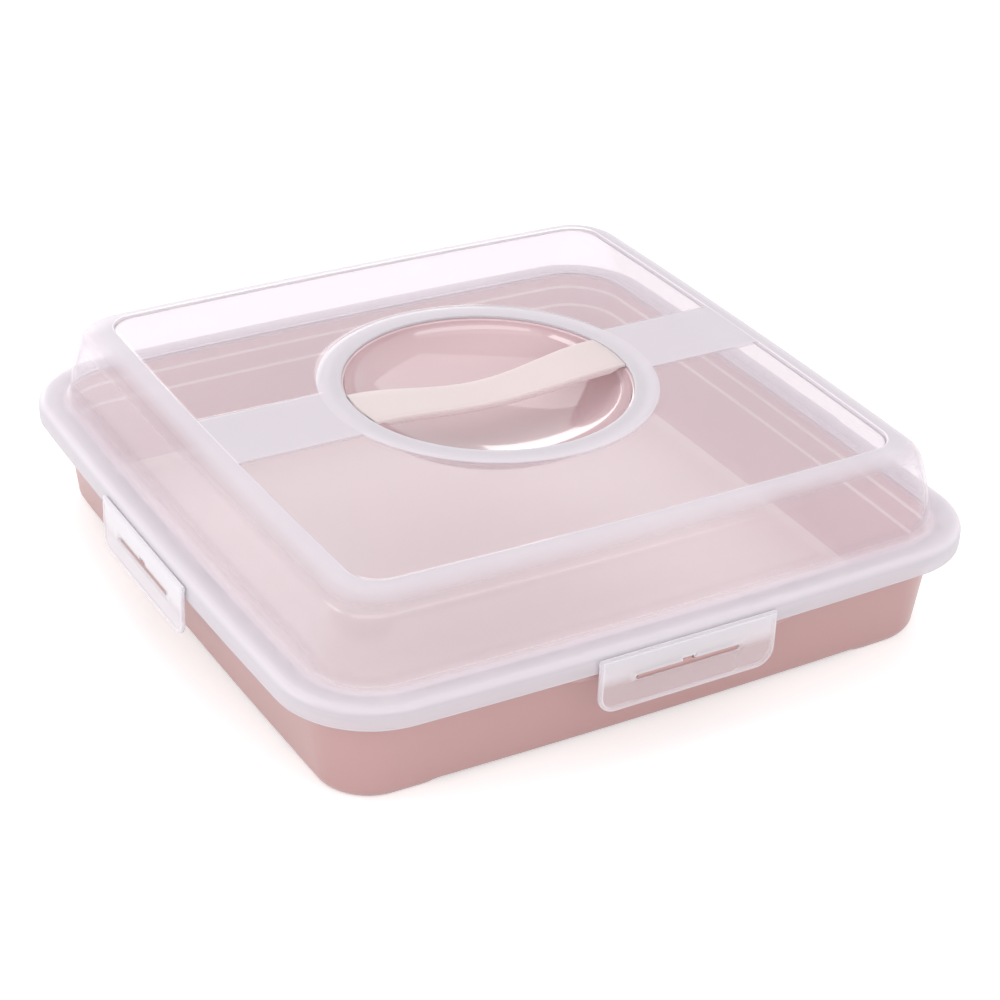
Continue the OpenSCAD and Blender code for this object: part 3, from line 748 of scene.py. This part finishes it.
def catch_points():
    """A catch as a grid: stations along x, and at each a closed section of six points [up, out]."""
    x = np.concatenate([[-CATCH_HALF, -CATCH_HALF + 0.4], np.linspace(-CATCH_HALF + 1, -NOSE_HALF - 0.4, 8),
                        [-NOSE_HALF, NOSE_HALF], np.linspace(NOSE_HALF + 0.4, CATCH_HALF - 1, 8),
                        [CATCH_HALF - 0.4, CATCH_HALF]])
    low = -SLOT_DROP - SLOT_H + CATCH_GAP
    nose, shelf = -SLOT_DROP + NOTCH_H - 2 * CATCH_GAP, -SLOT_DROP - CATCH_GAP
    high = np.where(np.abs(x) < NOSE_HALF + 0.1, nose, shelf)
    face = -CLIP_T / 2 + CATCH_IN
    root = LIP_HALF - 1 - HINGE_OUT
    r = CATCH_ROUND
    end = np.where(np.abs(x) > CATCH_HALF - 0.1, r, 0.0)
    section = [(low + end, root), (high - end, root), (high - end, face - r - end),
               (high - r - end, face - end), (low + r + end, face - end), (low + end, face - r - end)]
    y = np.stack([np.broadcast_to(p[0], x.shape) for p in section], -1)
    depth = np.stack([np.broadcast_to(p[1], x.shape) for p in section], -1)
    return np.stack([np.broadcast_to(x[:, None], y.shape), y, depth], -1)


catches = []
for turns, side in SIDES:
    catch = surface(f"catch_{side}", placed(catch_points(), turns), "base", poles=True)
    catches.append(catch)

# %% [markdown]
# ## Plastics
# The tub's outside and the bowl are opaque polypropylene with a satin face: one colour, a soft highlight
# and a trace of unevenness from the mould. Inside the tub the same pink is painted paler, as painted
# light: on the inner walls for the light that falls in through the lid, and palest on the floor as a
# painted sheen, with stronger streaks drawn out along X. The lid is the same plastic without pigment.
# Its polished parts let most light through, and its frosted parts scatter it, so they look white.

# %% Plastic materials
CLOUD_SCALE = 18     # of the slow noise, on coordinates in metres
GRAIN_DEPTH = 0.1    # of the fine noise's bumps, in millimetres


def plastic(name, colour, roughness, mottle=0.02, stretch=(1, 1, 1), grain=0.0, grain_size=1.0, **sockets):
    """A moulded plastic. colour is linear RGB. Slow noise on Object coordinates changes the colour by
    mottle; stretch scales its coordinates, so that less than 1 draws it out along that axis. Fine noise
    of grain_size millimetres roughens the surface by a bump of grain."""
    material = bpy.data.materials.new(name)
    material.use_nodes = True
    nodes, links = material.node_tree.nodes, material.node_tree.links
    shader = nodes["Principled BSDF"]
    place = nodes.new("ShaderNodeTexCoord")
    cloud = nodes.new("ShaderNodeTexNoise")
    cloud.inputs["Scale"].default_value = CLOUD_SCALE
    cloud.inputs["Detail"].default_value = 2
    drawn = nodes.new("ShaderNodeMapping")
    drawn.inputs["Scale"].default_value = stretch
    links.new(place.outputs["Object"], drawn.inputs["Vector"])
    links.new(drawn.outputs["Vector"], cloud.inputs["Vector"])
    tint = nodes.new("ShaderNodeMix")
    tint.data_type = "RGBA"
    tint.inputs["A"].default_value = (*[c * (1 - mottle) for c in colour], 1)
    tint.inputs["B"].default_value = (*[min(c * (1 + mottle), 1) for c in colour], 1)
    links.new(cloud.outputs["Fac"], tint.inputs["Factor"])
    links.new(tint.outputs["Result"], shader.inputs["Base Color"])
    shader.inputs["Roughness"].default_value = roughness
    if grain:
        speckle = nodes.new("ShaderNodeTexNoise")
        speckle.inputs["Scale"].default_value = 1 / (grain_size * MM)
        speckle.inputs["Detail"].default_value = 1
        links.new(place.outputs["Object"], speckle.inputs["Vector"])
        bump = nodes.new("ShaderNodeBump")
        bump.inputs["Strength"].default_value = grain
        bump.inputs["Distance"].default_value = GRAIN_DEPTH * MM
        links.new(speckle.outputs["Fac"], bump.inputs["Height"])
        links.new(bump.outputs["Normal"], shader.inputs["Normal"])
    for socket, value in sockets.items():
        shader.inputs[socket.replace("_", " ")].default_value = value
    return material


pink = plastic("pink_satin", (0.475, 0.285, 0.28), 0.3, grain=0.05, grain_size=0.8)
# Paler copies of the outside pink for inside the tub: painted light for the light that falls in through the
# lid, and on the floor a painted sheen.
inner_pink_lit = plastic("pink_inside_lit", (0.77, 0.6, 0.615), 0.42, grain=0.05, grain_size=0.8)
floor_pink_sheen = plastic("pink_floor_sheen", (0.92, 0.82, 0.795), 0.5, mottle=0.07, stretch=(0.12, 1, 1),
                     grain=0.1, grain_size=0.8)
bowl_pink = plastic("pink_gloss", (0.605, 0.43, 0.455), 0.09, Coat_Weight=1.0)

# %% [markdown]
# ### See-through plastic
# Unpigmented polypropylene is slightly milky, and the milk adds up along the light's way through the
# wall: a wall seen at a slant looks whiter. Glass shaders would keep the lamps out of the carrier, so
# the plastic is a mix of a see-through shader and a white one, with a reflection on top. On the lid and
# the clips, how milky, rough and white it is comes from the three attributes that the surface was given.
# On the lid the whiteness also carries painted light: a painted highlight at the rim's crest and along
# the deck's edge, and a rim top painted whiter than its skirt.

# %% See-through materials
SEE_THROUGH = (0.968, 0.954, 0.965)   # what one face lets through
LEAST_COSINE = 0.12                   # slants are cut off here
GLOSS_SQUARE = 0.04
GLOSS_RISE = 0.6


def milky(name, colour, onward_share, milk=None, rough=None, steep=1.0, **options):
    """A thin translucent plastic. A ray that meets the surface squarely is caught by the share milk.
    At a slant with cosine c the share is 1 - (1 - milk)^(1/c^steep). What is caught is scattered, and
    onward_share of it goes on. The gloss is GLOSS_SQUARE + GLOSS_RISE (1 - c)^5, where the rise is less
    than a smooth face's 0.96 because this one is slightly rough. Without milk and rough, these two are
    read from the mesh, and the colour is multiplied by the mesh's tone, which on the lid also holds
    painted highlights."""
    material = plastic(name, colour, 0.5, **options)
    nodes, links = material.node_tree.nodes, material.node_tree.links
    shader, output = nodes["Principled BSDF"], nodes["Material Output"]
    shader.inputs["Specular IOR Level"].default_value = 0.0

    def sum_of(operation, first, second, third=0.0):
        node = nodes.new("ShaderNodeMath")
        node.operation = operation
        for socket, value in zip(node.inputs, (first, second, third)):
            if isinstance(value, float):
                socket.default_value = value
            else:
                links.new(value, socket)
        return node.outputs[0]

    def read(label):
        node = nodes.new("ShaderNodeAttribute")
        node.attribute_name = label
        return node.outputs["Fac"]

    def blend_of(share, first, second):
        node = nodes.new("ShaderNodeMixShader")
        if isinstance(share, float):
            node.inputs[0].default_value = share
        else:
            links.new(share, node.inputs[0])
        links.new(first.outputs[0], node.inputs[1])
        links.new(second.outputs[0], node.inputs[2])
        return node

    onward = nodes.new("ShaderNodeBsdfTranslucent")
    onward.inputs["Color"].default_value = (*colour, 1)
    if milk is None:
        tone_and_highlight = nodes.new("ShaderNodeMix")
        tone_and_highlight.data_type = "RGBA"
        tone_and_highlight.blend_type = "MULTIPLY"
        tone_and_highlight.inputs["Factor"].default_value = 1.0
        links.new(shader.inputs["Base Color"].links[0].from_socket, tone_and_highlight.inputs["A"])
        links.new(read("tone_and_highlight"), tone_and_highlight.inputs["B"])
        links.new(tone_and_highlight.outputs["Result"], shader.inputs["Base Color"])
    scattered = blend_of(onward_share, shader, onward)
    slant = nodes.new("ShaderNodeLayerWeight")
    slant.inputs["Blend"].default_value = 0.5
    away = slant.outputs["Facing"]
    cosine = sum_of("MAXIMUM", sum_of("SUBTRACT", 1.0, away), LEAST_COSINE)
    missed = sum_of("SUBTRACT", 1.0, read("milk")) if milk is None else 1.0 - milk
    passed = sum_of("POWER", missed, sum_of("POWER", cosine, -steep))
    through = nodes.new("ShaderNodeBsdfTransparent")
    through.inputs["Color"].default_value = (*SEE_THROUGH, 1)
    body = blend_of(passed, scattered, through)
    mirror = nodes.new("ShaderNodeBsdfGlossy")
    if rough is None:
        links.new(read("rough"), mirror.inputs["Roughness"])
    else:
        mirror.inputs["Roughness"].default_value = rough
    bump = [n for n in nodes if n.bl_idname == "ShaderNodeBump"]
    if bump:
        links.new(bump[0].outputs["Normal"], mirror.inputs["Normal"])
    gloss = sum_of("MULTIPLY_ADD", sum_of("POWER", away, 5.0), GLOSS_RISE, GLOSS_SQUARE)
    links.new(blend_of(gloss, body, mirror).outputs[0], output.inputs["Surface"])
    return material


lid_milk = milky("lid_milk", (0.97, 0.92, 0.985), 0.2)
strap_frost = milky("strap_frost", (0.86, 0.77, 0.765), 0.3, milk=0.62, rough=0.35,
                    grain=0.15, grain_size=0.5)
clip_frost = milky("clip_frost", (0.95, 0.92, 0.96), 0.2, steep=2.0, grain=0.1, grain_size=0.5)

finishes = [(tub, [pink, inner_pink_lit, floor_pink_sheen]), (lid, [lid_milk]), (bowl, [bowl_pink]),
            (strap, [strap_frost])]
finishes += [(clip, [clip_frost]) for clip in clips]
finishes += [(catch, [pink]) for catch in catches]
for piece, looks in finishes:
    for material in looks:
        piece.data.materials.append(material)
print("materials:", [m.name for m in bpy.data.materials])

# %% [markdown]
# ## Studio
# The photograph is a cut-out on white: a plain white floor and soft light from all sides. The floor and
# the world show white to the camera, to mirrors and through clear plastic, and the floor still takes a
# faint shadow. For all other rays the world is a little dimmer than white.

# %% Floor and world
def seen_by_the_eye(nodes, links):
    """A socket that is 1 for camera, mirror and see-through rays, and 0 for rays that carry light."""
    rays = nodes.new("ShaderNodeLightPath").outputs
    found = rays["Is Camera Ray"]
    for ray in ("Is Glossy Ray", "Is Transmission Ray"):
        either = nodes.new("ShaderNodeMath")
        either.operation = "MAXIMUM"
        links.new(found, either.inputs[0])
        links.new(rays[ray], either.inputs[1])
        found = either.outputs[0]
    return found


WHITE = (1, 1, 1, 1)
FLOOR_SIZE = 6.0
FLOOR_GREY = 0.85
FLOOR_GLOW = 0.35    # what the floor adds to its own colour to look white
FLOOR_DROP = 0.0002  # keeps the floor off the feet
WORLD_LIGHT = 0.785
floor_mesh = bpy.data.meshes.new("floor")
reach = FLOOR_SIZE / 2
floor_mesh.from_pydata([(-reach, -reach, 0), (reach, -reach, 0), (reach, reach, 0), (-reach, reach, 0)],
                       [], [(0, 1, 2, 3)])
floor = bpy.data.objects.new("floor", floor_mesh)
floor.location.z = -FLOOR_DROP
bpy.context.scene.collection.objects.link(floor)
floor_paint = bpy.data.materials.new("floor_paint")
floor_paint.use_nodes = True
floor_nodes, floor_links = floor_paint.node_tree.nodes, floor_paint.node_tree.links
floor_shader = floor_nodes["Principled BSDF"]
floor_shader.inputs["Base Color"].default_value = (FLOOR_GREY, FLOOR_GREY, FLOOR_GREY, 1)
floor_shader.inputs["Roughness"].default_value = 0.9
floor_shader.inputs["Emission Color"].default_value = WHITE
glow = floor_nodes.new("ShaderNodeMath")
glow.operation = "MULTIPLY"
glow.inputs[1].default_value = FLOOR_GLOW
floor_links.new(seen_by_the_eye(floor_nodes, floor_links), glow.inputs[0])
floor_links.new(glow.outputs[0], floor_shader.inputs["Emission Strength"])
floor_mesh.materials.append(floor_paint)

world = bpy.context.scene.world or bpy.data.worlds.new("studio")
bpy.context.scene.world = world
world.use_nodes = True
sky_nodes, sky_links = world.node_tree.nodes, world.node_tree.links
background = sky_nodes["Background"]
background.inputs["Color"].default_value = WHITE
level = sky_nodes.new("ShaderNodeMix")
level.inputs["A"].default_value = WORLD_LIGHT
level.inputs["B"].default_value = 1.0
sky_links.new(seen_by_the_eye(sky_nodes, sky_links), level.inputs["Factor"])
sky_links.new(level.outputs["Result"], background.inputs["Strength"])

# %% [markdown]
# ### Soft boxes
# Five large boxes. Two stand behind the camera and a little higher: the strip's reflection is the
# crescent on the bowl's far wall. One lights the left side, one the top from behind, and a low one
# behind the carrier is mirrored by the bowl's near wall.

# %% Soft boxes
AIM = np.array([0, 0, 0.08])


def soft_box(name, place, size, power):
    """A rectangular lamp at place that faces AIM. All in metres and watts."""
    data = bpy.data.lights.new(name, "AREA")
    data.shape = "RECTANGLE"
    data.size, data.size_y = size
    data.energy = power
    lamp = bpy.data.objects.new(name, data)
    away = np.array(place) - AIM
    away = away / np.linalg.norm(away)
    right = np.cross([0, 0, 1], away)
    right = right / np.linalg.norm(right)
    up = np.cross(away, right)
    matrix = np.eye(4)
    matrix[:3, 0], matrix[:3, 1], matrix[:3, 2], matrix[:3, 3] = right, up, away, place
    lamp.matrix_world = Matrix(matrix.tolist())
    bpy.context.scene.collection.objects.link(lamp)


soft_box("front_box", (-0.427, -1.174, 0.80), (3.2, 1.0), 5.2)
soft_box("strip_box", (-0.349, -1.303, 0.68), (3.0, 0.45), 6.8)
soft_box("left_box", (-1.458, 0.257, 0.62), (1.0, 0.45), 5.0)
soft_box("top_box", (0.438, 0.729, 1.55), (2.2, 1.5), 8.8)
soft_box("glow_box", (0.21, 1.48, 0.45), (1.21, 0.47), 3.8)

# %% [markdown]
# ## Camera
# The camera's place was found by fitting the carrier's own outlines to the photograph: it stands about
# 1.19 m away, 31 degrees to the left of the front, and looks down by 30 degrees. The picture leans
# by 2.4 degrees.

# %% Camera
AZIMUTH = math.radians(31.17)
ELEVATION = math.radians(29.82)
LEAN = math.radians(2.41)
DISTANCE = 1.18623
TARGET = np.array([-0.00977, -0.03186, 0.050])
LENS = 88.58         # millimetres, on a sensor 36 mm wide
SENSOR = 36

backwards = np.array([-math.sin(AZIMUTH) * math.cos(ELEVATION),
                      -math.cos(AZIMUTH) * math.cos(ELEVATION), math.sin(ELEVATION)])
level_right = np.cross(-backwards, [0, 0, 1])
level_right = level_right / np.linalg.norm(level_right)
level_up = np.cross(level_right, -backwards)
cam_right = math.cos(LEAN) * level_right + math.sin(LEAN) * level_up
cam_up = -math.sin(LEAN) * level_right + math.cos(LEAN) * level_up
cam_data = bpy.data.cameras.new("photo_camera")
cam_data.sensor_fit = "HORIZONTAL"
cam_data.sensor_width = SENSOR
cam_data.lens = LENS
camera = bpy.data.objects.new("photo_camera", cam_data)
cam_matrix = np.eye(4)
cam_matrix[:3, 0], cam_matrix[:3, 1], cam_matrix[:3, 2] = cam_right, cam_up, backwards
cam_matrix[:3, 3] = TARGET + DISTANCE * backwards
camera.matrix_world = Matrix(cam_matrix.tolist())
bpy.context.scene.collection.objects.link(camera)
bpy.context.scene.camera = camera
bpy.context.scene.view_settings.view_transform = "Standard"
